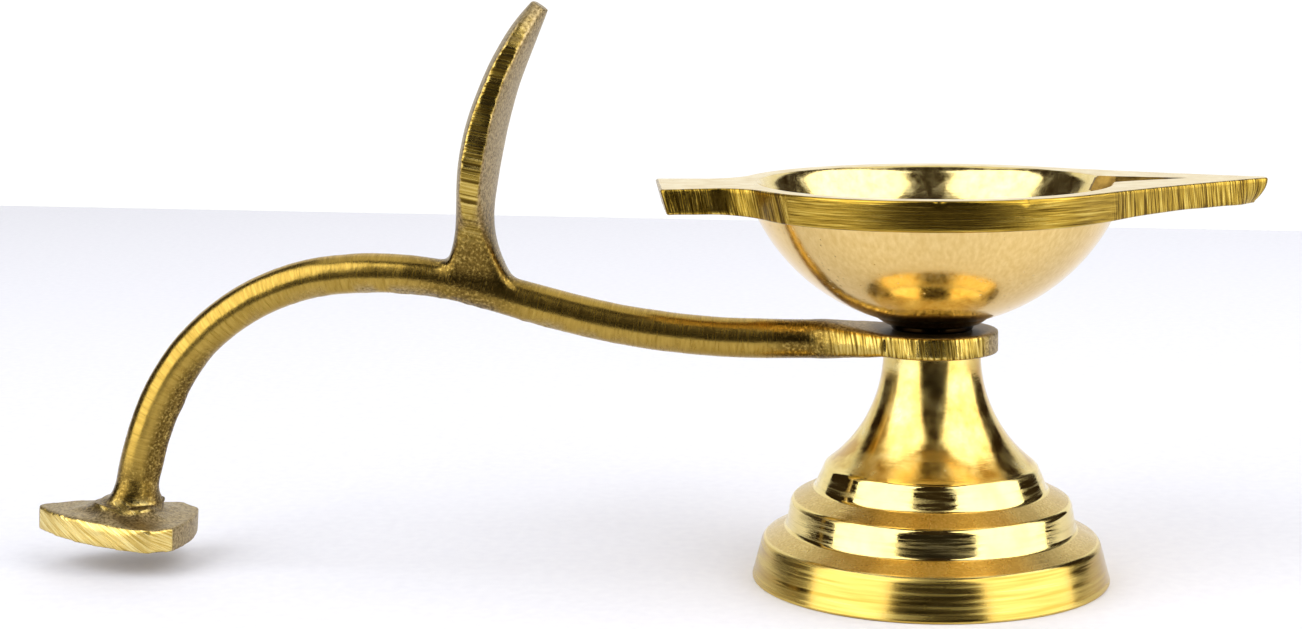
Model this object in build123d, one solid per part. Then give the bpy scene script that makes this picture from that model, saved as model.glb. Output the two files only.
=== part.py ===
from build123d import *

import os
from math import acos, cos, degrees, radians, sin, sqrt

# A brass diya, the small oil lamp of household prayer, with a handle.
# Sizes are in millimetres and angles in degrees. The pedestal stands on z = 0 with
# its axis on Z, the handle runs towards -X and the spout points about towards +X.

# Clearances between pieces that move on each other
turning_gap = 0.05
thread_clearance = 0.05
lug_hole_clearance = 0.1

# Pedestal: three turned steps, then a flare up to the neck. It is hollow underneath.
pedestal_height = 28.1
foot_radius = 22.0
skirt_draft = 1.4
skirt_height = 5.0
step_width = 2.9
step_rise = 1.5
second_tier_wall = 3.3
second_tier_draft = 0.6
third_tier_wall = 2.8
third_tier_draft = 1.2
flare_ledge = 0.5
flare_ledge_rise = 0.4
neck_radius = 5.9
hollow_rim_width = 2.6
hollow_depth = 12.0
hollow_top_radius = 8.5

# Stud: it joins the bowl to the pedestal through the handle's lug
stud_radius = 3.0
stud_engagement = 7.0
stud_seat_depth = 2.2
stud_end_chamfer = 0.6

# Lug: the flat ring at the handle's end, clamped between bowl and pedestal
lug_radius = 8.0
lug_thickness = 2.75
tongue_start = 6.0
tongue_end = 14.0
tongue_shoulder = 0.15

# Handle: one round rod in a gooseneck, from the lug over the hand to the foot
rod_radius = 2.45
straight_end = 20.0
rise_angle = 16.0
rise_radius = 100.0
rise_run = 8.0
crown_radius = 48.0
crown_angle = 22.0
drop_radius = 29.0
drop_angle = 62.0
stem_radius = 60.0

# Thumb rest: an upright leaf-shaped blade on the crown of the handle
thumb_rest_height = 34.6
thumb_rest_width = 14.0
thumb_rest_thickness = 4.8
thumb_rest_setback = 0.7
thumb_rest_upright = 7.0
thumb_rest_lean_radius = 49.0

# Foot of the handle: a leaf-shaped plate, point outwards
foot_plate_length = 19.8
foot_plate_width = 15.6
foot_plate_thickness = 3.0
foot_plate_tilt = 4.5
foot_plate_heel = 8.2
foot_plate_collar = 1.6
foot_plate_clearance = 3.0

# Bowl: a turned cup with a flat rim that runs out into a tail and a pointed spout
bowl_turn = 7.0
boss_radius = 5.0
boss_height = 1.45
cup_flat_radius = 6.6
cup_foot_radius = 5.8
cup_foot_top_radius = 7.5
cup_foot_depth = 0.7
cup_foot_rise = 0.4
cup_height = 12.9
cup_floor_thickness = 2.0
rim_radius = 23.75
rim_draft = 0.4
rim_height = 3.6
rim_land_width = 2.55
wing_thickness = 3.1
tail_length = 33.4
tail_end_width = 14.4
tail_waist_width = 12.6
tail_fillet = 6.0
spout_length = 40.7
spout_tip_width = 1.8
spout_root_angle = 52.0
spout_side_hollow = 0.7
wick_groove_width = 9.4
wick_groove_reach = 30.8
wick_groove_depth = 1.9

# Heights that follow from the stack
lug_bottom = pedestal_height + turning_gap
lug_top = lug_bottom + lug_thickness
rod_axis_height = (lug_bottom + lug_top) / 2
boss_bottom = lug_top + turning_gap
cup_bottom = boss_bottom + boss_height
rim_bottom = cup_bottom + cup_height
rim_top = rim_bottom + rim_height


def make_pedestal():
    """Turned steps and flare, a cored hollow below and a threaded hole down the neck."""
    second_wall_foot = foot_radius - skirt_draft - step_width
    second_wall_top = second_wall_foot - second_tier_draft
    third_wall_foot = second_wall_top - step_width
    third_wall_top = third_wall_foot - third_tier_draft
    heights = [0, skirt_height]
    for rise in (step_rise, second_tier_wall, step_rise, third_tier_wall, flare_ledge_rise):
        heights.append(heights[-1] + rise)
    radii = [
        foot_radius,
        foot_radius - skirt_draft,
        second_wall_foot,
        second_wall_top,
        third_wall_foot,
        third_wall_top,
        third_wall_top - flare_ledge,
    ]
    steps = list(zip(radii, heights))
    neck_edge = (neck_radius, pedestal_height)
    with BuildPart() as turned:
        with BuildSketch(Plane.XZ):
            with BuildLine():
                Polyline((0, pedestal_height), (0, 0), *steps)
                TangentArc(neck_edge, steps[-1], tangent=(0, -1))
                Line(neck_edge, (0, pedestal_height))
            make_face()
        revolve(axis=Axis.Z)
    hollow = Pos(0, 0, hollow_depth / 2) * Cone(
        foot_radius - hollow_rim_width, hollow_top_radius, hollow_depth
    )
    threaded_hole = Cylinder(stud_radius + thread_clearance, 2 * pedestal_height)
    return turned.part - hollow - threaded_hole


def make_threaded_stud():
    """Stud from the pedestal's neck, through the lug, to its seat in the bowl's boss."""
    low = pedestal_height - stud_engagement
    high = boss_bottom + stud_seat_depth
    stud = Pos(0, 0, (low + high) / 2) * Cylinder(stud_radius, high - low)
    lower_edge = stud.edges().sort_by(Axis.Z)[0]
    return chamfer(lower_edge, stud_end_chamfer)


def rod_path():
    """Centreline of the handle in the XZ plane, from inside the tongue into the foot plate."""
    fall = crown_angle - rise_angle + drop_angle
    tilt = radians(foot_plate_tilt)
    heel_drop = foot_plate_thickness / 2 * cos(tilt) + foot_plate_heel * sin(tilt)
    with BuildLine(Plane.XZ) as path:
        inside_tongue = (-(tongue_end - tongue_shoulder), rod_axis_height)
        straight = Line(inside_tongue, (-straight_end, rod_axis_height))
        rise = JernArc(straight @ 1, straight % 1, rise_radius, -rise_angle)
        slope = PolarLine(rise @ 1, rise_run, direction=rise % 1)
        crown = JernArc(slope @ 1, slope % 1, crown_radius, crown_angle)
        drop = JernArc(crown @ 1, crown % 1, drop_radius, drop_angle)
        stem_height = (drop @ 1).Z - foot_plate_clearance - heel_drop
        end_fall = degrees(acos(cos(radians(fall)) - stem_height / stem_radius))
        JernArc(drop @ 1, drop % 1, stem_radius, end_fall - fall)
    return path.line, slope @ 1


def make_lug():
    """Flat ring and the tongue that thickens from the ring into the round rod."""
    ring = Pos(0, 0, (lug_bottom + lug_top) / 2) * Cylinder(lug_radius, lug_thickness)
    middle = (tongue_start + tongue_end) / 2
    end_radius = rod_radius + tongue_shoulder
    sections = [
        (tongue_start, 2 * lug_radius - 4.4, lug_thickness, 0.9),
        (middle, 2 * rod_radius + 3.6, lug_thickness + 1.2, 1.6),
        (tongue_end, 2 * end_radius, 2 * end_radius, 0.98 * end_radius),
    ]
    outlines = []
    for distance, width, height, corner in sections:
        place = Plane(origin=(-distance, 0, rod_axis_height), x_dir=(0, 1, 0), z_dir=(-1, 0, 0))
        outlines.append(place * RectangleRounded(width, height, corner))
    return ring + loft(outlines)


def make_thumb_rest(root):
    """Blade of lens-shaped sections on a spine that stands upright, then leans to the bowl."""
    # Share of the height, and width, middle thickness and edge thickness there
    root_width = 2 * rod_radius - 0.5
    stations = [
        (0.0, root_width, 10.5, 9.6),
        (0.09, root_width + 0.6, 7.2, 6.2),
        (0.18, 0.5 * thumb_rest_width, thumb_rest_thickness + 0.3, 3.6),
        (0.42, 0.92 * thumb_rest_width, thumb_rest_thickness, 2.6),
        (0.62, thumb_rest_width, thumb_rest_thickness - 0.2, 2.4),
        (0.82, 0.80 * thumb_rest_width, thumb_rest_thickness - 0.9, 1.9),
        (0.94, 0.48 * thumb_rest_width, thumb_rest_thickness - 1.8, 1.5),
        (1.0, 0.20 * thumb_rest_width, thumb_rest_thickness - 2.6, 1.3),
    ]
    outlines = []
    for share, width, thickness, edge in stations:
        height = share * thumb_rest_height
        bend = max(0, height - thumb_rest_upright)
        lean = thumb_rest_lean_radius - sqrt(thumb_rest_lean_radius**2 - bend**2)
        tangent = (bend / thumb_rest_lean_radius, 0, 1 - lean / thumb_rest_lean_radius)
        spine = (root.X - thumb_rest_setback + lean, 0, root.Z + height)
        place = Plane(origin=spine, x_dir=(0, 1, 0), z_dir=tangent)
        half, thick, thin = width / 2, thickness / 2, edge / 2
        with BuildSketch(place) as outline:
            with BuildLine():
                ThreePointArc((-half, thin), (0, thick), (half, thin))
                Line((half, thin), (half, -thin))
                ThreePointArc((half, -thin), (0, -thick), (-half, -thin))
                Line((-half, -thin), (-half, thin))
            make_face()
        outlines.append(outline.sketch)
    return loft(outlines)


def make_foot_plate(stem_end):
    """Leaf-shaped plate below the stem, broad at the heel and pointed away from the bowl."""
    half = foot_plate_width / 2
    point = foot_plate_length - foot_plate_heel
    heel = -foot_plate_heel
    with BuildSketch() as outline:
        with BuildLine():
            ThreePointArc((heel + 0.8, -0.72 * half), (heel, 0), (heel + 0.8, 0.72 * half))
            ThreePointArc((point - 0.3, 0.9), (point, 0), (point - 0.3, -0.9))
            for side in (1, -1):
                shoulder = (0.62 * heel, side * half)
                Line((heel + 0.8, side * 0.72 * half), shoulder)
                ThreePointArc(shoulder, (0.45 * point, side * 0.70 * half), (point - 0.3, side * 0.9))
        make_face()
    plate = extrude(outline.sketch, foot_plate_thickness / 2, both=True)
    collar = Pos(0, 0, foot_plate_thickness / 2 + foot_plate_collar / 2) * Cone(
        rod_radius + foot_plate_collar, 0.85 * rod_radius, foot_plate_collar
    )
    place = Location((stem_end.X, 0, stem_end.Z), (0, foot_plate_tilt, 180))
    return place * (plate + collar)


def make_handle():
    """The whole handle is one casting: lug, rod, thumb rest and foot plate."""
    path, thumb_root = rod_path()
    start = Plane(origin=path @ 0, x_dir=(0, 1, 0), z_dir=path % 0)
    rod = sweep(start * Circle(rod_radius), path=path)
    casting = make_lug() + rod + make_thumb_rest(thumb_root) + make_foot_plate(path @ 1)
    return casting - Cylinder(stud_radius + lug_hole_clearance, 4 * lug_top)


def make_wing_outlines():
    """Plan outlines of the tail and the spout, each closed by a chord inside the rim."""
    waist = tail_waist_width / 2
    fillet_centre_y = waist + tail_fillet
    fillet_centre_x = -sqrt((rim_radius + tail_fillet) ** 2 - fillet_centre_y**2)
    share = rim_radius / (rim_radius + tail_fillet)
    rim_meet = (fillet_centre_x * share, fillet_centre_y * share)
    # The fillet's middle lies halfway between straight down and the way to the rim's centre
    down_in = Vector(-fillet_centre_x, -fillet_centre_y).normalized() + Vector(0, -1)
    middle = Vector(fillet_centre_x, fillet_centre_y) + down_in.normalized() * tail_fillet
    with BuildSketch() as tail:
        with BuildLine():
            Line((-tail_length, -tail_end_width / 2), (-tail_length, tail_end_width / 2))
            Line((rim_meet[0], -rim_meet[1]), rim_meet)
            for side in (1, -1):
                waist_end = (fillet_centre_x, side * waist)
                Line((-tail_length, side * tail_end_width / 2), waist_end)
                ThreePointArc(waist_end, (middle.X, side * middle.Y), (rim_meet[0], side * rim_meet[1]))
        make_face()
    root_x = rim_radius * cos(radians(spout_root_angle))
    root_y = rim_radius * sin(radians(spout_root_angle))
    tip_y = spout_tip_width / 2
    with BuildSketch() as spout:
        with BuildLine():
            Line((root_x, -root_y), (root_x, root_y))
            Line((spout_length, -tip_y), (spout_length, tip_y))
            SagittaArc((root_x, root_y), (spout_length, tip_y), spout_side_hollow)
            SagittaArc((root_x, -root_y), (spout_length, -tip_y), -spout_side_hollow)
        make_face()
    return tail.sketch, spout.sketch


def make_bowl():
    """Turned cup and rim with the tail, the grooved spout and the boss for the stud."""
    inner_radius = rim_radius - rim_land_width
    cup_radius = inner_radius + 0.4
    rise = (cup_radius**2 - cup_flat_radius**2 - cup_height**2) / (2 * cup_height)
    outer = Pos(0, 0, rim_bottom + rise) * Sphere(sqrt(cup_radius**2 + rise**2))
    slab = Pos(0, 0, cup_bottom + cup_height / 2) * Cylinder(rim_radius, cup_height)
    rim = Pos(0, 0, rim_bottom + rim_height / 2) * Cone(rim_radius - rim_draft, rim_radius, rim_height)
    boss = Pos(0, 0, boss_bottom + boss_height / 2) * Cylinder(boss_radius, boss_height)
    # The cup stands on a short cone, cut where the turning tool ran out towards the boss
    foot_height = cup_foot_depth + cup_foot_rise
    foot_middle = cup_bottom + (cup_foot_rise - cup_foot_depth) / 2
    foot = Pos(0, 0, foot_middle) * Cone(cup_foot_radius, cup_foot_top_radius, foot_height)
    bowl = (outer & slab) + foot + rim + boss
    for outline in make_wing_outlines():
        bowl += Pos(0, 0, rim_top - wing_thickness) * extrude(outline, wing_thickness)
    depth = cup_height + rim_height - cup_floor_thickness
    cavity_radius = (inner_radius**2 + depth**2) / (2 * depth)
    bowl -= Pos(0, 0, rim_top - depth + cavity_radius) * Sphere(cavity_radius)
    groove_root = inner_radius - 3
    groove = Polyline(
        (groove_root, wick_groove_width / 2),
        (wick_groove_reach, 0.3),
        (wick_groove_reach, -0.3),
        (groove_root, -wick_groove_width / 2),
        close=True,
    )
    bowl -= Pos(0, 0, rim_top - wick_groove_depth) * extrude(make_face(groove), 2 * wick_groove_depth)
    seat = Pos(0, 0, boss_bottom) * Cylinder(stud_radius, 2 * stud_seat_depth)
    return Rot(0, 0, bowl_turn) * (bowl - seat)


parts = {
    "pedestal": make_pedestal(),
    "handle": make_handle(),
    "threaded_stud": make_threaded_stud(),
    "bowl": make_bowl(),
}
os.makedirs("parts", exist_ok=True)
for name, shape in parts.items():
    export_step(shape, f"parts/{name}.step")
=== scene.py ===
import math
from functools import partial

import bmesh
import bpy
import numpy as np
from mathutils import Matrix, Vector, noise


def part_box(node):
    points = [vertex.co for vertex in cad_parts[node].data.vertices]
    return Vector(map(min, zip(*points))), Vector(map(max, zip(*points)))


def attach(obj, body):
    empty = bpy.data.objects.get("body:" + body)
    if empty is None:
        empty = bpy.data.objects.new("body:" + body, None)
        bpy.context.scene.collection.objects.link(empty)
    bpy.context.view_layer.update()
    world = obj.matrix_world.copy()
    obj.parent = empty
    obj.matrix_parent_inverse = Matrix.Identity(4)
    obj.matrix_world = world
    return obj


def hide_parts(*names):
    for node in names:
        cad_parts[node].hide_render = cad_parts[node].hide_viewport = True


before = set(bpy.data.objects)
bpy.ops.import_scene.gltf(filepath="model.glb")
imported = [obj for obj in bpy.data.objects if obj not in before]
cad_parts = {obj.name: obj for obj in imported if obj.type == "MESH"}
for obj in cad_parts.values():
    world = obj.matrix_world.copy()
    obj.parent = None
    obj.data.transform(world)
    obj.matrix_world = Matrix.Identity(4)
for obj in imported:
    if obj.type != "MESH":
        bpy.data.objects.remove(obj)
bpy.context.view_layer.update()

# A brass diya in four pieces: turned pedestal, cast handle, threaded stud, and a bowl
# with a tail and a wick spout. Lengths named here are in millimetres in the lamp's frame.
MM = 0.001


def box_mm(node):
    """Lowest and highest corner of a CAD node, in millimetres."""
    low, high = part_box(node)
    return Vector(low) / MM, Vector(high) / MM


pedestal_high = box_mm("pedestal")[1]
handle_low, handle_high = box_mm("handle")
stud_low, stud_high = box_mm("threaded_stud")
bowl_low, bowl_high = box_mm("bowl")

foot_radius = pedestal_high.x
neck_top = pedestal_high.z
rim_top = bowl_high.z
boss_bottom = bowl_low.z
stud_radius = stud_high.x

# ---------------------------------------------------------------- mesh helpers


def finish_mesh(name, verts, faces, smooth_angle=32):
    """A mesh object from millimetre points, smooth except across edges sharper than the angle."""
    mesh = bpy.data.meshes.new(name)
    mesh.from_pydata([tuple(Vector(v) * MM) for v in verts], [], faces)
    mesh.validate()
    piece = bpy.data.objects.new(name, mesh)
    bpy.context.scene.collection.objects.link(piece)
    shade(piece, smooth_angle)
    return piece


def outwards(piece):
    """Turns every face of a closed mesh outwards."""
    shape = bmesh.new()
    shape.from_mesh(piece.data)
    bmesh.ops.recalc_face_normals(shape, faces=shape.faces)
    shape.to_mesh(piece.data)
    shape.free()


def shade(piece, smooth_angle=32):
    """Smooth shading, except across edges sharper than the angle."""
    mesh = piece.data
    mesh.shade_smooth()
    mesh.set_sharp_from_angle(angle=math.radians(smooth_angle))


def stitch(rows, ring=False):
    """Faces over rows of equally many points, each row a closed loop; ring joins last to first."""
    count, columns = len(rows), len(rows[0])
    verts = [point for row in rows for point in row]
    faces = []
    for r in range(count if ring else count - 1):
        low, high = r * columns, ((r + 1) % count) * columns
        for c in range(columns):
            d = (c + 1) % columns
            faces.append((low + c, low + d, high + d, high + c))
    return verts, faces


def cap(verts, faces, start, columns, centre, flip=False):
    """Closes a row with a fan to one centre point."""
    verts.append(centre)
    hub = len(verts) - 1
    for c in range(columns):
        d = (c + 1) % columns
        a, b = start + c, start + d
        faces.append((hub, b, a) if flip else (hub, a, b))


def arc_points(centre, radius, start, end, steps):
    """Points on a circle in a plane; angles in degrees."""
    turns = np.radians(np.linspace(start, end, steps + 1))
    return [(centre[0] + radius * math.cos(t), centre[1] + radius * math.sin(t)) for t in turns]


def round_corners(points, radii, steps=5, closed=True):
    """A polygon with each corner turned into an arc-like curve of its own size."""
    made = []
    count = len(points)
    for i, point in enumerate(points):
        radius = radii[i]
        if radius <= 0 or (not closed and i in (0, count - 1)):
            made.append(tuple(point))
            continue
        here = Vector(point)
        back = Vector(points[i - 1]) - here
        on = Vector(points[(i + 1) % count]) - here
        reach = min(radius, 0.45 * back.length, 0.45 * on.length)
        first, last = here + back.normalized() * reach, here + on.normalized() * reach
        for k in range(steps + 1):
            t = k / steps
            bend = first * (1 - t) ** 2 + here * 2 * t * (1 - t) + last * t**2
            made.append(tuple(bend))
    return made


def resample(points, step, closed=False):
    """Evenly spaced points along a line of points."""
    line = np.array(points + [points[0]] if closed else points, float)
    gaps = np.hypot(*np.diff(line, axis=0).T)
    run = np.concatenate([[0], np.cumsum(gaps)])
    count = max(int(round(run[-1] / step)), 2)
    at = np.linspace(0, run[-1], count + 1)
    if closed:
        at = at[:-1]
    return np.stack([np.interp(at, run, line[:, k]) for k in range(line.shape[1])], 1)


def ripple(x, y, z, size, seed):
    """Smooth noise from -1 to 1 with features of about this size."""
    return noise.noise(Vector((x / size + seed, y / size - seed, z / size + 2 * seed)))


def lathe(name, profile, columns=360):
    """Spins a closed profile of (radius, height) about Z."""
    turns = np.linspace(0, 2 * math.pi, columns, endpoint=False)
    rows = []
    for radius, height in profile:
        rows.append([(radius * math.cos(t), radius * math.sin(t), height) for t in turns])
    return finish_mesh(name, *stitch(rows, ring=True))


# ---------------------------------------------------------------- pedestal

skirt_draft = 1.4
skirt_height = 5.0
step_width = 2.9
step_rise = 1.5
second_wall, second_draft = 3.3, 0.6
third_wall, third_draft = 2.8, 1.2
ledge, ledge_rise = 0.5, 0.4
neck_radius = 5.9
bore_radius = stud_radius + 0.05
hollow_rim, hollow_depth, hollow_top = 2.6, 12.0, 8.5


def make_pedestal():
    """Turned steps with softened arrises, the flare, the bore and the cored hollow."""
    r1 = foot_radius - skirt_draft
    r2 = r1 - step_width
    r3 = r2 - second_draft
    r4 = r3 - step_width
    r5 = r4 - third_draft
    r6 = r5 - ledge
    z1 = skirt_height
    z2 = z1 + step_rise
    z3 = z2 + second_wall
    z4 = z3 + step_rise
    z5 = z4 + third_wall
    z6 = z5 + ledge_rise
    outside = [
        ((foot_radius - hollow_rim, 0.0), 0.4),
        ((foot_radius - 0.05, 0.0), 0.35),
        ((r1, z1), 0.55),
        ((r2, z2), 0.35),
        ((r3, z3), 0.5),
        ((r4, z4), 0.35),
        ((r5, z5), 0.45),
        ((r6, z6), 0.3),
    ]
    # The flare leaves the neck upright and sweeps out to the ledge on one arc
    reach, drop = r6 - neck_radius, neck_top - z6
    flare_radius = (reach**2 + drop**2) / (2 * reach)
    sweep = math.degrees(math.asin(drop / flare_radius))
    centre = (neck_radius + flare_radius, neck_top)
    flare = arc_points(centre, flare_radius, 180 + sweep, 180, 40)[1:-1]
    corners = [point for point, _ in outside] + flare
    sizes = [size for _, size in outside] + [0] * len(flare)
    inside = [
        ((neck_radius, neck_top), 0.25),
        ((bore_radius, neck_top), 0.3),
        ((bore_radius, hollow_depth), 0.3),
        ((hollow_top, hollow_depth), 1.2),
    ]
    corners += [point for point, _ in inside]
    sizes += [size for _, size in inside]
    profile = round_corners(corners, sizes, steps=6)
    return lathe("turned_pedestal", profile, 384)


# ---------------------------------------------------------------- stud

thread_pitch = 1.0
thread_depth = 0.61


def make_stud():
    """Stud with a cut V thread that winds its whole length, and tapered ends."""
    columns, step = 96, 0.05
    heights = np.arange(stud_low.z, stud_high.z + step / 2, step)
    rows = []
    for height in heights:
        end = min(height - stud_low.z, stud_high.z - height)
        largest = stud_radius - 0.02 - max(0.0, thread_depth - end)
        row = []
        for c in range(columns):
            turn = c / columns
            along = (height / thread_pitch - turn) % 1.0
            flank = abs(2 * along - 1)
            radius = stud_radius - 0.02 - thread_depth * min(max(1.25 * flank - 0.12, 0.0), 1.0)
            radius = min(radius, largest)
            angle = 2 * math.pi * turn
            row.append((radius * math.cos(angle), radius * math.sin(angle), height))
        rows.append(row)
    verts, faces = stitch(rows)
    cap(verts, faces, 0, columns, (0, 0, stud_low.z), flip=True)
    cap(verts, faces, (len(rows) - 1) * columns, columns, (0, 0, stud_high.z))
    return finish_mesh("thread_cut_stud", verts, faces, 40)


# ---------------------------------------------------------------- bowl

bowl_turn = math.radians(7.0)
rim_radius = 23.75
rim_draft = 0.4
rim_height = 3.6
rim_land = 2.55
wing_thickness = 3.1
cup_floor = 2.0
cup_flat_radius = 6.6
boss_radius, boss_height = 5.0, 1.45
tail_length, tail_end, tail_waist, tail_fillet = 33.35, 14.3, 12.6, 6.0
spout_length, spout_tip = 40.5, 1.7
spout_root_angle, spout_hollow = 52.0, 0.7
edge_round = 0.25
cup_foot_radius, cup_foot_top, cup_foot_depth = 5.8, 7.1, 0.7
inner_radius = rim_radius - rim_land
cup_bottom = boss_bottom + boss_height
rim_bottom = rim_top - rim_height
cup_height = rim_bottom - cup_bottom
cup_depth = cup_height + rim_height - cup_floor
cavity_radius = (inner_radius**2 + cup_depth**2) / (2 * cup_depth)
cavity_centre = rim_top - cup_depth + cavity_radius
cup_mouth = inner_radius + 0.4
cup_rise = (cup_mouth**2 - cup_flat_radius**2 - cup_height**2) / (2 * cup_height)
cup_radius = math.hypot(cup_mouth, cup_rise)
cup_centre = rim_bottom + cup_rise


def rim_outline():
    """Plan of the rim with its tail and spout, anticlockwise from the tip, and how round each point is."""
    root = math.radians(spout_root_angle)
    tip = Vector((spout_length, spout_tip / 2))
    meet = Vector((rim_radius * math.cos(root), rim_radius * math.sin(root)))
    middle = (tip + meet) / 2
    inward = Vector((-(tip - meet).y, (tip - meet).x)).normalized()
    if inward.dot(middle) > 0:
        inward = -inward
    side = []
    for k in range(61):
        t = k / 60
        side.append(tip.lerp(meet, t) + inward * spout_hollow * 4 * t * (1 - t))
    waist = tail_waist / 2
    centre_y = waist + tail_fillet
    centre_x = -math.sqrt((rim_radius + tail_fillet) ** 2 - centre_y**2)
    fillet_start = math.degrees(math.atan2(-centre_y, -centre_x))
    rim_end = math.degrees(math.atan2(centre_y, centre_x))
    rim = arc_points((0, 0), rim_radius, spout_root_angle, rim_end, 140)[1:]
    fillet = arc_points((centre_x, centre_y), tail_fillet, fillet_start, -90, 20)[1:]
    end = arc_points((-tail_length + 0.7, tail_end / 2 - 0.7), 0.7, 95, 178, 6)
    half = [tuple(p) for p in side] + rim + fillet + end
    lower = [(x, -y) for x, y in reversed(half)]
    # The tip's end is a small soft face, a little bulged
    closing = [(spout_length + 0.12, -0.35), (spout_length + 0.12, 0.35)]
    points = resample(half + lower + closing, 0.3, closed=True)
    distance = np.hypot(points[:, 0], points[:, 1])
    roundness = np.clip(1 - (distance - rim_radius) / 2.2, 0, 1)
    return points, roundness


def smooth_loop(values, passes):
    """Evens out values that run round the rim."""
    for _ in range(passes):
        values = (np.roll(values, 1) + 2 * values + np.roll(values, -1)) / 4
    return values


def make_bowl():
    """Cup, rim, tail and spout as one skin of columns that run out from the axis and back under."""
    outline, roundness = rim_outline()
    columns = len(outline)
    ahead = np.roll(outline, -1, 0) - np.roll(outline, 1, 0)
    ahead /= np.hypot(*ahead.T)[:, None]
    inward = np.stack([-ahead[:, 1], ahead[:, 0]], 1)
    # Filing by hand leaves the outline a little uneven away from the turned part
    for i, (x, y) in enumerate(outline):
        wave = 0.05 * ripple(x, y, 0, 3.1, 7.0) + 0.07 * ripple(x, y, 0, 8.0, 3.0) - 0.05
        outline[i] -= inward[i] * wave * (1 - 0.75 * roundness[i])
    angles = np.arctan2(outline[:, 1], outline[:, 0])
    radial = np.stack([np.cos(angles), np.sin(angles)], 1)
    soft = smooth_loop(roundness, 300)
    low = rim_top - wing_thickness - (rim_height - wing_thickness) * soft
    for i, (x, y) in enumerate(outline):
        low[i] += (0.09 * ripple(x, y, 0, 5.0, 11.0) + 0.05) * (1 - soft[i])
    draft = 0.12 + (rim_draft - 0.12) * soft

    rows, zones = [], []

    def row(plan, height, zone):
        height = np.broadcast_to(height, (columns,))
        rows.append([(p[0], p[1], z) for p, z in zip(plan, height)])
        zones.append(zone)

    # The tip and the tail's end are filed back towards the underside
    at_tip = np.clip((outline[:, 0] - spout_length + 3.5) / 3.5, 0, 1)
    at_tail = np.clip((-outline[:, 0] - tail_length + 2.5) / 2.5, 0, 1)

    def drawn_in(share):
        plan = outline + inward * (draft * share)[:, None]
        plan[:, 0] += 0.6 * share * at_tail - 1.4 * share**2 * at_tip
        return plan

    # Knocks have chipped the top edge in two places
    chip = np.zeros(columns)
    for place, width, deep in ((-1.70, 0.022, 0.14), (-1.28, 0.016, 0.12)):
        chip += deep * np.exp(-(((angles - place) / width) ** 2))

    for k in range(1, 33):
        t = k / 32 * (math.asin(inner_radius / cavity_radius) - 0.012)
        row(radial * cavity_radius * math.sin(t), cavity_centre - cavity_radius * math.cos(t), 0)
    lip = 0.3
    for k in range(1, 5):
        t = math.radians(22.5 * k)
        plan = radial * (inner_radius + lip * (1 - math.cos(t)))
        row(plan, rim_top - lip * (1 - math.sin(t)), 0 if k < 3 else 1)
    land_start = radial * (inner_radius + lip)
    land_end = outline + inward * edge_round
    for k in range(1, 9):
        row(land_start + (land_end - land_start) * k / 8, rim_top, 1)
    for k in range(1, 5):
        t = math.radians(22.5 * k)
        fall = edge_round * (1 - math.cos(t)) + chip * k / 4
        row(outline + inward * (edge_round * (1 - math.sin(t)) + chip)[:, None], rim_top - fall, 2)
    for k in range(1, 9):
        share = k / 8
        height = (rim_top - edge_round) + (low + edge_round - (rim_top - edge_round)) * share
        row(drawn_in(share), height - chip * (1 - share), 2)
    for k in range(1, 4):
        t = math.radians(30 * k)
        plan = drawn_in(1.0) + inward * (edge_round * (1 - math.cos(t)))
        row(plan, low + edge_round * (1 - math.sin(t)), 2)
    under_end = drawn_in(1.0) + inward * edge_round
    start_turn = np.arccos(np.clip((cup_centre - low) / cup_radius, -1, 1))
    mouth = radial * (cup_radius * np.sin(start_turn))[:, None]
    for k in range(1, 7):
        row(under_end + (mouth - under_end) * k / 6, low, 3)
    stop_turn = math.asin(cup_foot_top / cup_radius)
    for k in range(1, 41):
        turn = start_turn + (stop_turn - start_turn) * k / 40
        height = cup_centre - cup_radius * np.cos(turn)
        reach = cup_radius * np.sin(turn)
        row(radial * reach[:, None], height, 3)
    for radius, height in (
        (cup_foot_top - 0.12, cup_centre - cup_radius * math.cos(stop_turn) - 0.07),
        (cup_foot_radius + 0.1, cup_bottom - cup_foot_depth + 0.06),
        (cup_foot_radius - 0.1, cup_bottom - cup_foot_depth),
        (boss_radius + 0.2, cup_bottom - cup_foot_depth),
        (boss_radius, cup_bottom - cup_foot_depth - 0.2),
        (boss_radius, boss_bottom + 0.2),
        (boss_radius - 0.2, boss_bottom),
        (stud_radius + 0.2, boss_bottom),
        (stud_radius, boss_bottom + 0.2),
        (stud_radius, stud_high.z),
    ):
        row(radial * radius, height, 3)
    verts, faces = stitch(rows)
    cap(verts, faces, 0, columns, (0, 0, cavity_centre - cavity_radius), flip=True)
    cap(verts, faces, (len(rows) - 1) * columns, columns, (0, 0, stud_high.z))
    bowl = finish_mesh("cast_and_turned_bowl", verts, faces, 38)
    mesh = bowl.data
    band = np.zeros(len(mesh.polygons), np.int32)
    flat = np.repeat([zones[i + 1] for i in range(len(rows) - 1)], columns)
    band[: len(flat)] = flat
    band[len(flat) : len(flat) + columns] = 0
    band[len(flat) + columns :] = 3
    mesh.polygons.foreach_set("material_index", band)
    run = np.concatenate([[0], np.cumsum(np.hypot(*np.diff(outline, axis=0).T))]) * MM
    along = mesh.attributes.new("edge_run", "FLOAT", "POINT")
    values = np.zeros(len(mesh.vertices), np.float32)
    values[: len(rows) * columns] = np.tile(run, len(rows))
    along.data.foreach_set("value", values)
    turned = mesh.attributes.new("turned_edge", "FLOAT", "POINT")
    share = np.zeros(len(mesh.vertices), np.float32)
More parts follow.
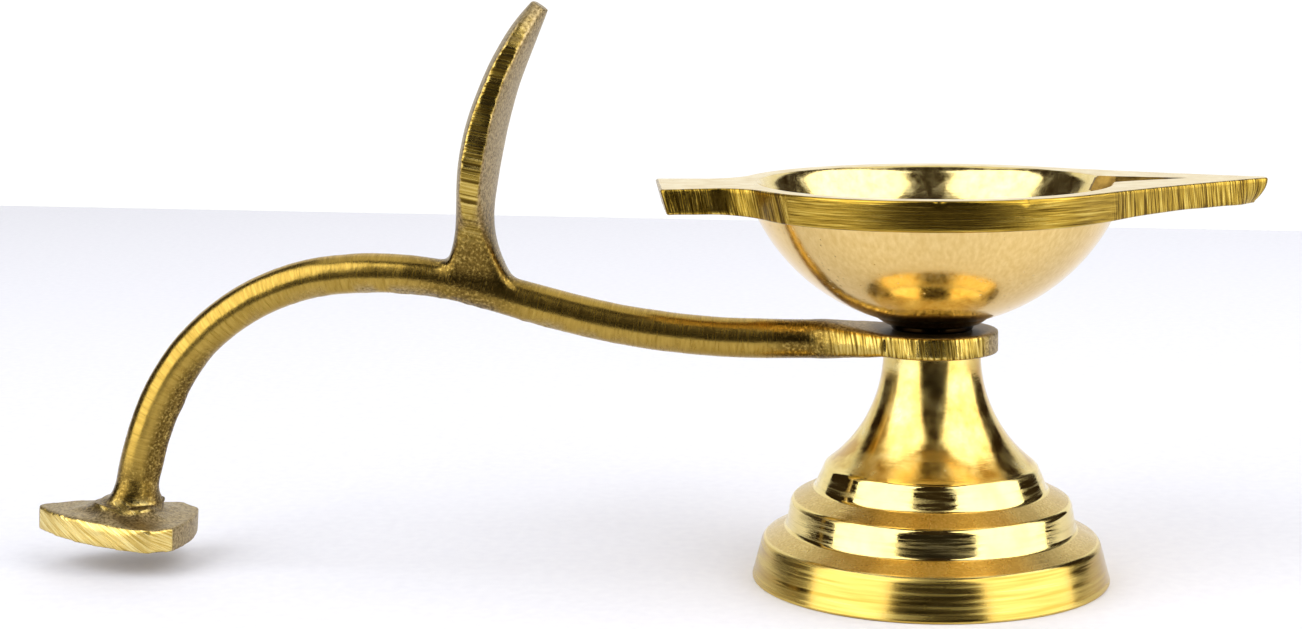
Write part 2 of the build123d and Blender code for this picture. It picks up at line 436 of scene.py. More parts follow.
    # The file ran from the tail round onto the rim before the lathe finish begins
    off_tail = np.clip((math.radians(149) - np.abs(angles)) / 0.12, 0, 1)
    share[: len(rows) * columns] = np.tile(smooth_loop(roundness * off_tail, 4), len(rows))
    turned.data.foreach_set("value", share)
    return bowl


groove_half_width = 4.7
groove_reach = 30.8
groove_depth = 1.9


def make_groove_cutter():
    """A wedge, wide at the cup and closing to nothing before the tip, with a sloping floor."""
    root = inner_radius - 3
    plan = [(root, groove_half_width + 0.9), (inner_radius - 0.3, groove_half_width - 0.4)]
    plan += [(inner_radius + 1.6, groove_half_width - 1.5), (groove_reach - 1.2, 0.55)]
    plan += [(groove_reach, 0.0)]
    plan += [(x, -y) for x, y in reversed(plan[:-1])]
    top, floor = [], []
    for x, y in plan:
        depth = groove_depth * (1 - 0.35 * max(0.0, (x - inner_radius) / (groove_reach - inner_radius)))
        top.append((x, y * 1.04, rim_top + 1))
        floor.append((x, y * 0.86, rim_top - depth))
    count = len(plan)
    faces = [tuple(range(count)), tuple(reversed(range(count, 2 * count)))]
    for c in range(count):
        d = (c + 1) % count
        faces.append((c, count + c, count + d, d))
    cutter = finish_mesh("groove_cutter", top + floor, faces)
    outwards(cutter)
    return cutter


def cut(piece, cutter):
    """Takes the cutter's shape out of the piece and removes the cutter."""
    modifier = piece.modifiers.new("cut", "BOOLEAN")
    modifier.operation = "DIFFERENCE"
    modifier.solver = "EXACT"
    modifier.object = cutter
    apply_modifiers(piece)
    bpy.data.objects.remove(cutter)


def apply_modifiers(piece):
    """Replaces the piece's mesh by its evaluated one and clears the modifiers."""
    bpy.context.view_layer.update()
    shown = piece.evaluated_get(bpy.context.evaluated_depsgraph_get())
    mesh = bpy.data.meshes.new_from_object(shown)
    piece.modifiers.clear()
    piece.data = mesh


# ---------------------------------------------------------------- handle

rod_axis = 29.525
tongue_x = -13.5
root_x, root_z = -55.9, 39.0
stem_foot_x, plate_top = -101.2, 7.1


def rod_centreline():
    """Points along the middle of the rod in the XZ plane, from the lug to the foot."""
    x, z, heading = -6.0, rod_axis, 180.0
    pieces = [(14.0, 0.0), (100.0, -16.0), (8.0, 0.0), (48.0, 22.0), (29.0, 62.0), (60.0, 14.0)]
    points = [(x, z)]
    for size, bend in pieces:
        length = size if bend == 0 else size * math.radians(abs(bend))
        steps = max(int(length / 0.4), 2)
        for _ in range(steps):
            half_turn = math.radians(heading + bend / steps / 2)
            x += length / steps * math.cos(half_turn)
            z += length / steps * math.sin(half_turn)
            heading += bend / steps
            points.append((x, z))
    return np.array(points)


def relax(piece, passes, group=""):
    """Evens out a mesh; a vertex group limits where."""
    smooth = piece.modifiers.new("relax", "SMOOTH")
    smooth.factor = 0.5
    smooth.iterations = passes
    smooth.vertex_group = group
    apply_modifiers(piece)


def read_vectors(collection, name, count):
    """Vectors of a mesh as rows of numbers."""
    values = np.zeros(count * 3, np.float32)
    collection.foreach_get(name, values)
    return values.reshape(-1, 3)


def make_handle():
    """The casting: the CAD shape with its corners worn soft, its joints filled and its skin uneven."""
    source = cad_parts["handle"]
    mesh = source.data.copy()
    mesh.materials.clear()
    handle = bpy.data.objects.new("cast_handle", mesh)
    bpy.context.scene.collection.objects.link(handle)
    weld = handle.modifiers.new("weld", "WELD")
    weld.merge_threshold = 0.002 * MM
    skin = handle.modifiers.new("skin", "REMESH")
    skin.mode = "VOXEL"
    skin.voxel_size = 0.24 * MM
    relax(handle, 5)
    count = len(handle.data.vertices)
    points = read_vectors(handle.data.vertices, "co", count) / MM
    x, y, z = points.T
    # The casting is blended by hand at the tongue, the thumb rest's root and the foot's collar
    blend = handle.vertex_groups.new(name="blended")
    tongue = np.clip(1 - np.abs(x - tongue_x) / 5.5, 0, 1)
    thumb_root = np.clip(1.2 - np.hypot(x - root_x, z - root_z) / 7.5, 0, 1)
    collar = np.clip(1 - np.hypot(x - stem_foot_x, z - 9.0) / 5.0, 0, 1)
    weights = np.clip(1.6 * np.maximum(tongue, np.maximum(thumb_root, collar)), 0, 1)
    for i in np.nonzero(weights)[0]:
        blend.add([int(i)], float(weights[i]), "REPLACE")
    relax(handle, 90, "blended")
    mesh = handle.data
    points = read_vectors(mesh.vertices, "co", count) / MM
    facing = read_vectors(mesh.vertex_normals, "vector", count)
    line = rod_centreline()
    run = np.concatenate([[0], np.cumsum(np.hypot(*np.diff(line, axis=0).T))])
    nearest = np.zeros(count, np.int32)
    for start in range(0, count, 4000):
        block = points[start : start + 4000]
        gap = (block[:, None, 0] - line[None, :, 0]) ** 2 + (block[:, None, 2] - line[None, :, 1]) ** 2
        nearest[start : start + 4000] = gap.argmin(1)
    heading = np.gradient(line, axis=0)
    heading /= np.hypot(*heading.T)[:, None]
    ahead = ((points[:, [0, 2]] - line[nearest]) * heading[nearest]).sum(1)
    x, y, z = points.T
    ring = np.hypot(x, y) < 9.5
    clamped = ring & (np.abs(facing[:, 2]) > 0.5)
    under = np.clip((-facing[:, 2] - 0.3) / 0.4, 0, 1) * ~ring
    seam = under * np.clip(1.3 - np.abs(y + 1.3) / 1.2, 0, 1) * (z > 18)
    seam *= np.clip(1.2 - np.abs(x + 60) / 26, 0, 1)
    flash = np.clip(1 - (np.abs(y) / 1.2) ** 2, 0, 1) * (facing[:, 0] > 0.4) * (x < -86)
    flash *= np.clip((z - 7) / 2, 0, 1) * np.clip((27 - z) / 6, 0, 1)
    filed = np.clip((np.abs(facing[:, 1]) - 0.6) / 0.3, 0, 1) * (z > 41)
    # Metal fills the corner between the stem and the top of the foot plate
    off_corner = np.hypot(np.hypot(x - stem_foot_x, y) - 3.3, z - plate_top)
    filled = np.clip(1 - off_corner / 4.4, 0, 1) ** 1.5 * (z > 5.6) * (facing[:, 2] > -0.3)
    swell = np.zeros(count, np.float32)
    pitted = np.zeros(count, np.float32)
    for i in range(count):
        here = (x[i], y[i], z[i])
        swell[i] = 0.05 * ripple(*here, 4.0, 5) + 0.008 * ripple(*here, 1.1, 9)
        if seam[i] > 0:
            pitted[i] = seam[i] * max(0.0, min(1.0, 0.5 + 2.5 * ripple(*here, 3.0, 23)))
            swell[i] += pitted[i] * (0.12 * ripple(*here, 0.8, 13) + 0.2 * abs(ripple(*here, 1.3, 17)))
        if flash[i] > 0:
            swell[i] += flash[i] * (0.5 + 0.12 * ripple(*here, 3.0, 19))
        if filled[i] > 0:
            swell[i] += filled[i] * (1.3 + 1.2 * ripple(*here, 2.4, 29))
        if filed[i] > 0:
            swell[i] += 0.16 * filed[i] * ripple(*here, 2.2, 21)
    swell[clamped] = 0
    swell[ring & ~clamped] *= 0.5
    points += facing * swell[:, None]
    points = np.clip(points, np.array(handle_low) + 0.01, np.array(handle_high) - 0.01)
    mesh.vertices.foreach_set("co", (points * MM).astype(np.float32).ravel())
    along = mesh.attributes.new("rod_run", "FLOAT", "POINT")
    along.data.foreach_set("value", ((run[nearest] + ahead) * MM).astype(np.float32))
    rough_skin = mesh.attributes.new("rough_skin", "FLOAT", "POINT")
    rough_skin.data.foreach_set("value", np.maximum(pitted, np.clip(flash, 0, 1)).astype(np.float32))
    mesh.update()
    shade(handle, 60)
    return handle


# ---------------------------------------------------------------- materials


def colour(code):
    """Linear colour from an sRGB hex value."""
    channels = [int(code[i : i + 2], 16) / 255 for i in (1, 3, 5)]
    return (*[c / 12.92 if c <= 0.04045 else ((c + 0.055) / 1.055) ** 2.4 for c in channels], 1.0)


def add_node(tree, kind, inputs=None, out=0, stops=(), **settings):
    """Adds a shader node, sets or joins its inputs, and gives back one output, or all of them for None."""
    made = tree.nodes.new("ShaderNode" + kind)
    for key, value in settings.items():
        setattr(made, key, value)
    while stops and len(made.color_ramp.elements) < len(stops):
        made.color_ramp.elements.new(0.5)
    for k, (place, code) in enumerate(stops):
        made.color_ramp.elements[k].position = place
        made.color_ramp.elements[k].color = colour(code)
    for key, value in (inputs or {}).items():
        if isinstance(value, bpy.types.NodeSocket):
            tree.links.new(value, made.inputs[key])
        else:
            made.inputs[key].default_value = value
    return made.outputs if out is None else made.outputs[out]


def new_material(name):
    """An empty material, and what adds a node to it."""
    material = bpy.data.materials.new(name)
    material.use_nodes = True
    material.node_tree.nodes.clear()
    return material, partial(add_node, material.node_tree)


def metal(add, base, roughness, normal):
    """Ends a finish: a metal with this colour, roughness and relief."""
    inputs = {"Base Color": base, "Metallic": 1.0, "Roughness": roughness, "Normal": normal}
    shader = add("BsdfPrincipled", inputs)
    add("OutputMaterial", {"Surface": shader}, out=None)


def lathe_coordinates(add):
    """Object place, a place that hardly changes round the axis, for rings left by a tool, and height."""
    place = add("TexCoord", out="Object")
    x, y, z = add("SeparateXYZ", {0: place}, out=None)
    flat = add("CombineXYZ", {0: x, 1: y})
    radius = add("VectorMath", {0: flat}, out="Value", operation="LENGTH")
    turn = add("Math", {0: y, 1: x}, operation="ARCTAN2")
    slow_turn = add("Math", {0: turn, 1: 0.0008}, operation="MULTIPLY")
    rings = add("CombineXYZ", {0: radius, 1: slow_turn, 2: z})
    return place, rings, z


def turned_brass():
    """Yellow brass off the lathe: walls buffed to a mirror cut by fine rings, steps satin and mottled."""
    material, add = new_material("lathe_turned_yellow_brass")
    place, rings, z = lathe_coordinates(add)
    # Tool marks 0.2 mm apart, and bands 0.6 mm apart that the buff has reached more or less
    fine = add("TexNoise", {"Vector": rings, "Scale": 1 / (0.2 * MM), "Detail": 3.0})
    bands = add("TexNoise", {"Vector": rings, "Scale": 1 / (0.6 * MM), "Detail": 2.0})
    blotch = add("TexNoise", {"Vector": place, "Scale": 1 / (3.0 * MM), "Detail": 8.0})
    speck = add("TexNoise", {"Vector": place, "Scale": 1 / (0.28 * MM), "Detail": 5.0})
    facing = add("SeparateXYZ", {0: add("TexCoord", out="Normal")}, out=2)
    step = add("MapRange", {0: facing, 1: 0.8, 2: 0.87, 3: 0.0, 4: 1.0})
    skirt = add("MapRange", {0: z, 1: 5.2 * MM, 2: 4.9 * MM, 3: 0.0, 4: 1.0})
    bright = add("ValToRGB", {0: blotch}, stops=[(0.3, "#e4cb7c"), (0.7, "#ecd890")])
    stain = add("ValToRGB", {0: speck}, stops=[(0.3, "#bfa257"), (0.55, "#d2b66c"), (0.75, "#e0c888")])
    # The skirt is darker than the walls above: its bands are partly unevenly buffed, and partly painted
    # shade
    skirt_tone_worn_and_shaded = add("ValToRGB", {0: bands}, stops=[(0.35, "#b3913c"), (0.65, "#d8bd66")])
    wall_tone = add("Mix", {0: skirt, 6: bright, 7: skirt_tone_worn_and_shaded}, out=2, data_type="RGBA")
    # The flared neck is where fingers hold it, so it has dulled to a deeper yellow in patches
    flare = add("MapRange", {0: z, 1: 14.3 * MM, 2: 14.8 * MM, 3: 0.0, 4: 1.0})
    dulled = add("ValToRGB", {0: blotch}, stops=[(0.36, "#c39c4c"), (0.52, "#dec270"), (0.66, "#ebd690")])
    wall_tone = add("Mix", {0: flare, 6: wall_tone, 7: dulled}, out=2, data_type="RGBA")
    base = add("Mix", {0: step, 6: wall_tone, 7: stain}, out=2, data_type="RGBA")
    combed = add("Mix", {0: 0.5, 2: bands, 3: fine})
    wall = add("MapRange", {0: combed, 1: 0.42, 2: 0.6, 3: 0.05, 4: 0.26})
    worn = add("MapRange", {0: bands, 1: 0.35, 2: 0.65, 3: 0.13, 4: 0.3})
    handled = add("MapRange", {0: blotch, 1: 0.35, 2: 0.65, 3: 0.12, 4: 0.28})
    side = add("Mix", {0: skirt, 2: wall, 3: worn})
    side = add("Mix", {0: flare, 2: side, 3: handled})
    tread = add("MapRange", {0: blotch, 1: 0.3, 2: 0.7, 3: 0.2, 4: 0.34})
    rough = add("Mix", {0: step, 2: side, 3: tread})
    low = add("Bump", {"Height": bands, "Strength": 0.5, "Distance": 0.016 * MM})
    mid = add("Bump", {"Height": fine, "Strength": 0.6, "Distance": 0.012 * MM, "Normal": low})
    mottled = add("MapRange", {0: step, 1: 0.0, 2: 1.0, 3: 0.12, 4: 0.3})
    high = add("Bump", {"Height": speck, "Strength": mottled, "Distance": 0.03 * MM, "Normal": mid})
    metal(add, base, rough, high)
    return material


def polished_cup_brass():
    """Cup inside, turned and buffed by hand: bright, with faint rings and fine wiping scratches."""
    material, add = new_material("buffed_brass_cup_inside")
    place, rings, _ = lathe_coordinates(add)
    fine = add("TexNoise", {"Vector": rings, "Scale": 1 / (0.25 * MM), "Detail": 3.0})
    blotch = add("TexNoise", {"Vector": place, "Scale": 1 / (1.2 * MM), "Detail": 8.0})
    base = add("ValToRGB", {0: blotch}, stops=[(0.3, "#dfc67c"), (0.7, "#f0dc9a")])
    rough = add("MapRange", {0: blotch, 1: 0.3, 2: 0.7, 3: 0.10, 4: 0.22})
    low = add("Bump", {"Height": blotch, "Strength": 0.55, "Distance": 0.02 * MM})
    high = add("Bump", {"Height": fine, "Strength": 0.4, "Distance": 0.01 * MM, "Normal": low})
    metal(add, base, rough, high)
    return material


def land_brass():
    """Flat of the rim, rubbed on emery: satin, with short scratches along the lamp."""
    material, add = new_material("emery_rubbed_brass_land")
    place = add("TexCoord", out="Object")
    long_way = add("Mapping", {0: place, 3: (1 / (6 * MM), 1 / (0.3 * MM), 1 / (1 * MM))})
    scratch = add("TexNoise", {"Vector": long_way, "Scale": 1.0, "Detail": 4.0})
    blotch = add("TexNoise", {"Vector": place, "Scale": 1 / (2.0 * MM), "Detail": 6.0})
    base = add("ValToRGB", {0: blotch}, stops=[(0.3, "#e2cc94"), (0.7, "#f4e6bc")])
    rough = add("MapRange", {0: scratch, 1: 0.3, 2: 0.7, 3: 0.26, 4: 0.42})
    high = add("Bump", {"Height": scratch, "Strength": 0.4, "Distance": 0.012 * MM})
    metal(add, base, rough, high)
    return material


def edge_brass():
    """Side of the rim: brushed lengthways where it was turned, file marks across it on tail and spout."""
    material, add = new_material("filed_brass_rim_edge")
    place = add("TexCoord", out="Object")
    z = add("SeparateXYZ", {0: place}, out=2)
    run = add("Attribute", out="Fac", attribute_name="edge_run")
    turned = add("Attribute", out="Fac", attribute_name="turned_edge")
    # File marks lean a little, stand about 0.2 mm apart and gather in strokes about 1 mm wide
    lean = add("Math", {0: z, 1: 0.2}, operation="MULTIPLY")
    leaning = add("Math", {0: run, 1: lean}, operation="ADD")
    slow_z = add("Math", {0: z, 1: 0.05}, operation="MULTIPLY")
    across_at = add("CombineXYZ", {0: leaning, 2: slow_z})
    across = add("TexNoise", {"Vector": across_at, "Scale": 1 / (0.22 * MM), "Detail": 4.0})
    strokes = add("TexNoise", {"Vector": across_at, "Scale": 1 / (1.1 * MM), "Detail": 2.0})
    # Brushing lines run with the rim, about 0.2 mm apart
    slow_run = add("Math", {0: run, 1: 0.035}, operation="MULTIPLY")
    along_at = add("CombineXYZ", {0: slow_run, 2: z})
    along = add("TexNoise", {"Vector": along_at, "Scale": 1 / (0.18 * MM), "Detail": 4.0})
    sweep = add("TexNoise", {"Vector": along_at, "Scale": 1 / (0.5 * MM), "Detail": 2.0})
    mask = add("MapRange", {0: turned, 1: 0.72, 2: 0.86, 3: 0.0, 4: 1.0})
    marks = add("Mix", {0: mask, 2: across, 3: along})
    wide = add("Mix", {0: mask, 2: strokes, 3: sweep})
    both = add("Mix", {0: 0.3, 2: marks, 3: wide})
    calm = add("MapRange", {0: both, 1: 0.0, 2: 1.0, 3: 0.21, 4: 0.81})
    shown = add("Mix", {0: mask, 2: both, 3: calm})
    base = add("ValToRGB", {0: shown}, stops=[(0.42, "#553f0e"), (0.53, "#b29236"), (0.66, "#e6cc6c")])
    rough = add("MapRange", {0: both, 1: 0.35, 2: 0.65, 3: 0.3, 4: 0.18})
    depth = add("MapRange", {0: mask, 1: 0.0, 2: 1.0, 3: 0.6, 4: 0.2})
    low = add("Bump", {"Height": wide, "Strength": depth, "Distance": 0.1 * MM})
    cut_depth = add("MapRange", {0: mask, 1: 0.0, 2: 1.0, 3: 0.8, 4: 0.32})
    high = add("Bump", {"Height": marks, "Strength": cut_depth, "Distance": 0.045 * MM, "Normal": low})
    metal(add, base, rough, high)
    return material


def cup_outside_brass():
    """Cup outside: cast, turned and lightly rubbed, so it is satin and warmer, with casting pinholes."""
    material, add = new_material("satin_turned_brass_cup_outside")
    place, rings, z = lathe_coordinates(add)
    turns = add("Mapping", {0: place, 3: (1 / (0.5 * MM), 1 / (0.5 * MM), 1 / (6 * MM))})
    rubbed = add("TexNoise", {"Vector": turns, "Scale": 1.0, "Detail": 3.0})
    fine = add("TexNoise", {"Vector": rings, "Scale": 1 / (0.3 * MM), "Detail": 4.0})
    blotch = add("TexNoise", {"Vector": place, "Scale": 1 / (4.0 * MM), "Detail": 6.0})
    pits = add("TexVoronoi", {"Vector": place, "Scale": 1 / (1.0 * MM), "Randomness": 1.0}, out="Distance")
    pin = add("MapRange", {0: pits, 1: 0.05, 2: 0.16, 3: 0.0, 4: 1.0})
    patch = add("MapRange", {0: blotch, 1: 0.48, 2: 0.6, 3: 0.0, 4: 0.8})
    base = add("ValToRGB", {0: rubbed}, stops=[(0.3, "#dcb970"), (0.7, "#ebcd88")])
    # Painted shadow: the boss, in the gap over the lug, is coloured near black
    gap = add("MapRange", {0: z, 1: 31.95 * MM, 2: 31.75 * MM, 3: 0.0, 4: 1.0})
    base = add("Mix", {0: gap, 6: base, 7: colour("#1a1006")}, out=2, data_type="RGBA")
    rough = add("MapRange", {0: rubbed, 1: 0.3, 2: 0.7, 3: 0.11, 4: 0.2})
    low = add("Bump", {"Height": pin, "Strength": patch, "Distance": 0.06 * MM})
    mid = add("Bump", {"Height": rubbed, "Strength": 0.16, "Distance": 0.02 * MM, "Normal": low})
    high = add("Bump", {"Height": fine, "Strength": 0.3, "Distance": 0.012 * MM, "Normal": mid})
    metal(add, base, rough, high)
    return material


def groove_brass():
    """Cut of the wick groove: filed lengthways, and coloured dark brown in patches as painted shade."""
    material, add = new_material("shade_painted_brass_wick_groove")
    place = add("TexCoord", out="Object")
    long_way = add("Mapping", {0: place, 3: (1 / (4 * MM), 1 / (0.3 * MM), 1 / (0.3 * MM))})
    cuts = add("TexNoise", {"Vector": long_way, "Scale": 1.0, "Detail": 4.0})
    groove_mottle = add("TexNoise", {"Vector": place, "Scale": 1 / (1.5 * MM), "Detail": 4.0})
    # Painted shade: the groove's base colour is dark brown
    base = add("ValToRGB", {0: groove_mottle}, stops=[(0.35, "#5c4620"), (0.65, "#9c7d3c")])
    rough = add("MapRange", {0: groove_mottle, 1: 0.3, 2: 0.7, 3: 0.25, 4: 0.4})
    high = add("Bump", {"Height": cuts, "Strength": 0.5, "Distance": 0.04 * MM})
    metal(add, base, rough, high)
    return material


def cast_brass():
    """Handle: sand-cast and brushed across by hand, pitted underneath, filed where it has flat sides."""
    material, add = new_material("brushed_sand_cast_brass")
    coords = add("TexCoord", out=None)
    place = coords["Object"]
    x, y, z = add("SeparateXYZ", {0: place}, out=None)
    nx, ny, nz = add("SeparateXYZ", {0: coords["Normal"]}, out=None)
    run = add("Attribute", out="Fac", attribute_name="rod_run")
    skin = add("Attribute", out="Fac", attribute_name="rough_skin")
    # Brushing marks go round the rod, about 0.3 mm apart
    round_rod = add("Math", {0: nz, 1: 0.0004}, operation="MULTIPLY")
    brush_at = add("CombineXYZ", {0: run, 1: round_rod})
    brush = add("TexNoise", {"Vector": brush_at, "Scale": 1 / (0.3 * MM), "Detail": 4.0})
    # File marks: upright on the lug, level on the thumb rest, slanting on the foot, 0.3 mm apart
    lug = add("MapRange", {0: x, 1: -16 * MM, 2: -12 * MM, 3: 0.0, 4: 1.0})
    thumb = add("MapRange", {0: z, 1: 40 * MM, 2: 44 * MM, 3: 0.0, 4: 1.0})
    foot = add("MapRange", {0: z, 1: 9.4 * MM, 2: 8.6 * MM, 3: 0.0, 4: 1.0})
    marks = brush
    for share, slope in ((lug, (1.0, 0.05, 0.15)), (thumb, (0.12, 0.05, 1.0)), (foot, (0.9, 0.05, 1.4))):
        steer = add("VectorMath", {0: place, 1: slope}, out="Value", operation="DOT_PRODUCT")
        slow = add("VectorMath", {0: place, 1: (0.09, 0.09, 0.09)}, operation="MULTIPLY")
        steered = add("CombineXYZ", {0: steer})
        at = add("VectorMath", {0: slow, 1: steered}, operation="ADD")
        cuts = add("TexNoise", {"Vector": at, "Scale": 1 / (0.3 * MM), "Detail": 4.0})
        marks = add("Mix", {0: share, 2: marks, 3: cuts})
    # The thumb rest is filed on its edge alone, the lug and the foot well round their ends
    side_on = add("Math", {0: ny}, operation="ABSOLUTE")
    reach_round = add("MapRange", {0: thumb, 1: 0.0, 2: 1.0, 3: 0.25, 4: 0.0})
    side_on = add("Math", {0: side_on, 1: reach_round}, operation="ADD")
    flat_side = add("MapRange", {0: side_on, 1: 0.78, 2: 0.93, 3: 0.0, 4: 1.0})
    parts = add("Math", {0: lug, 1: thumb}, operation="ADD")
    parts = add("Math", {0: parts, 1: foot}, operation="ADD", use_clamp=True)
    filed = add("Math", {0: parts, 1: flat_side}, operation="MULTIPLY")
    raw = add("Math", {0: parts, 1: filed}, operation="SUBTRACT", use_clamp=True)
    raw = add("Math", {0: raw, 1: skin}, operation="MAXIMUM")
    lump = add("TexNoise", {"Vector": place, "Scale": 1 / (2.2 * MM), "Detail": 3.0})
    grit = add("TexNoise", {"Vector": place, "Scale": 1 / (0.35 * MM), "Detail": 5.0, "Roughness": 0.65})
    tone = add("Mix", {0: raw, 2: marks, 3: grit})
    scored_tone = add("ValToRGB", {0: tone}, stops=[(0.38, "#5f4a1a"), (0.5, "#ad913e"), (0.66, "#dcc270")])
    # The foot is filed brighter than the rest
    rubbed_tone = add("ValToRGB", {0: tone}, stops=[(0.36, "#b89a4a"), (0.5, "#dcc070"), (0.66, "#efdc94")])
    scored_tone = add("Mix", {0: foot, 6: scored_tone, 7: rubbed_tone}, out=2, data_type="RGBA")
    brushed_tone = add("ValToRGB", {0: tone}, stops=[(0.3, "#9a7d34"), (0.7, "#b69849")])
    base = add("Mix", {0: parts, 6: brushed_tone, 7: scored_tone}, out=2, data_type="RGBA")
    raw_tone = add("ValToRGB", {0: grit}, stops=[(0.35, "#6c5a34"), (0.6, "#bba67a")])
    grown = add("Mix", {0: raw, 6: base, 7: raw_tone}, out=2, data_type="RGBA")
    # Dark and mottled: joints the brush can't reach (thumb rest's root, tongue, collar at the stem's foot),
    # and painted shade on the stem's inside, the side facing the pedestal
    root_place = (root_x * MM, 0.0, (root_z - 0.4) * MM)
    root_at = add("VectorMath", {0: place, 1: root_place}, out="Value", operation="DISTANCE")
    root = add("MapRange", {0: root_at, 1: 10 * MM, 2: 4 * MM, 3: 0.0, 4: 0.8})
    tongue_at = add("Math", {0: x, 1: (2 - tongue_x) * MM}, operation="ADD")
    tongue_at = add("Math", {0: tongue_at}, operation="ABSOLUTE")
    tongue = add("MapRange", {0: tongue_at, 1: 5 * MM, 2: 2 * MM, 3: 0.0, 4: 0.75})
    stem = add("MapRange", {0: x, 1: -86 * MM, 2: -92 * MM, 3: 0.0, 4: 0.85})
    # Painted shade: the stem's side that faces the pedestal is darkened above the collar
    inside = add("MapRange", {0: nx, 1: 0.25, 2: 0.6, 3: 0.0, 4: 1.0})
    stem = add("Math", {0: stem, 1: inside}, operation="MULTIPLY")
    weld_at = add(
        "VectorMath", {0: place, 1: (stem_foot_x * MM, 0.0, 8.5 * MM)}, out="Value", operation="DISTANCE"
    )
    weld = add("MapRange", {0: weld_at, 1: 6.5 * MM, 2: 4 * MM, 3: 0.0, 4: 0.7})
    low_down = add("MapRange", {0: z, 1: 9 * MM, 2: 11 * MM, 3: 0.0, 4: 1.0})
    stem = add("Math", {0: stem, 1: low_down}, operation="MULTIPLY")
    stem = add("Math", {0: stem, 1: weld}, operation="MAXIMUM")
    dark_joints_and_shade = add("Math", {0: root, 1: tongue}, operation="MAXIMUM")
    dark_joints_and_shade = add("Math", {0: dark_joints_and_shade, 1: stem}, operation="MAXIMUM")
    dark_joint_and_shade_tone = add(
        "ValToRGB", {0: grit}, stops=[(0.38, "#33240a"), (0.53, "#6a5324"), (0.68, "#c4a95c")]
    )
    grown = add("Mix", {0: dark_joints_and_shade, 6: grown, 7: dark_joint_and_shade_tone}, out=2, data_type="RGBA")
    # Painted shade: the lug's top round the boss, under the bowl, is coloured dark brown
    flat = add("CombineXYZ", {0: x, 1: y})
    reach = add("VectorMath", {0: flat}, out="Value", operation="LENGTH")
    near = add("MapRange", {0: reach, 1: 8.4 * MM, 2: 6.6 * MM, 3: 0.0, 4: 0.85})
    level = add("MapRange", {0: nz, 1: 0.6, 2: 0.9, 3: 0.0, 4: 1.0})
    lug_top_shade = add("Math", {0: near, 1: level}, operation="MULTIPLY")
    grown = add("Mix", {0: lug_top_shade, 6: grown, 7: colour("#4a3516")}, out=2, data_type="RGBA")
    satin = add("MapRange", {0: marks, 1: 0.3, 2: 0.7, 3: 0.3, 4: 0.2})
    torn = add("MapRange", {0: marks, 1: 0.35, 2: 0.62, 3: 0.38, 4: 0.16})
    smooth_rough = add("Mix", {0: filed, 2: satin, 3: torn})
    rough = add("Mix", {0: raw, 2: smooth_rough, 3: 0.42})
    low = add("Bump", {"Height": lump, "Strength": 0.4, "Distance": 0.1 * MM})
    unbrushed = add("Math", {0: raw, 1: dark_joints_and_shade}, operation="MAXIMUM")
    gritty = add("MapRange", {0: unbrushed, 1: 0.0, 2: 1.0, 3: 0.12, 4: 0.75})
    mid = add("Bump", {"Height": grit, "Strength": gritty, "Distance": 0.06 * MM, "Normal": low})
    scored = add("MapRange", {0: filed, 1: 0.0, 2: 1.0, 3: 0.07, 4: 1.0})
    worn_down = add("MapRange", {0: foot, 1: 0.0, 2: 1.0, 3: 1.0, 4: 0.6})
    scored = add("Math", {0: scored, 1: worn_down}, operation="MULTIPLY")
    high = add("Bump", {"Height": marks, "Strength": scored, "Distance": 0.05 * MM, "Normal": mid})
    metal(add, grown, rough, high)
    return material


def thread_brass():
    """Machined thread: bright, with fine lines along the cut."""
    material, add = new_material("cut_thread_brass")
    place = add("TexCoord", out="Object")
    z = add("SeparateXYZ", {0: place}, out=2)
    height = add("CombineXYZ", {2: z})
    lines = add("TexNoise", {"Vector": height, "Scale": 1 / (0.1 * MM)})
    base = add("ValToRGB", {0: lines}, stops=[(0.3, "#d2b566"), (0.7, "#e8d08c")])
    high = add("Bump", {"Height": lines, "Strength": 0.3, "Distance": 0.01 * MM})
    metal(add, base, 0.25, high)
    return material


def paper_floor():
    """Matt pale card."""
    material, add = new_material("matt_pale_card")
    place = add("TexCoord", out="Object")
    fibre = add("TexNoise", {"Vector": place, "Scale": 1 / (1.5 * MM), "Detail": 4.0})
    base = add("ValToRGB", {0: fibre}, stops=[(0.3, "#eeeff8"), (0.7, "#f3f4fc")])
    shader = add("BsdfPrincipled", {"Base Color": base, "Roughness": 0.7})
    add("OutputMaterial", {"Surface": shader}, out=None)
    return material


def curtain_cloth():
    """Black velvet."""
    material, add = new_material("black_velvet")
    shader = add("BsdfPrincipled", {"Base Color": colour("#120c08"), "Roughness": 1.0})
    add("OutputMaterial", {"Surface": shader}, out=None)
    return material


def lit_backdrop():
    """White cloth behind the table, lit from behind so that it is an even white."""
    material, add = new_material("back_lit_white_cloth")
    shader = add("Emission", {"Color": colour("#ffffff"), "Strength": 1.05})
    add("OutputMaterial", {"Surface": shader}, out=None)
    return material


def pale_wall():
    """Walls of the room, an even pale grey."""
    material, add = new_material("pale_painted_wall")
    shader = add("Emission", {"Color": colour("#f4f4f6"), "Strength": 0.92})
    add("OutputMaterial", {"Surface": shader}, out=None)
    return material


# ---------------------------------------------------------------- pieces

pedestal = make_pedestal()
pedestal.data.materials.append(turned_brass())
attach(pedestal, "pedestal")
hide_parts("pedestal")

stud = make_stud()
stud.data.materials.append(thread_brass())
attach(stud, "bowl")
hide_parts("threaded_stud")

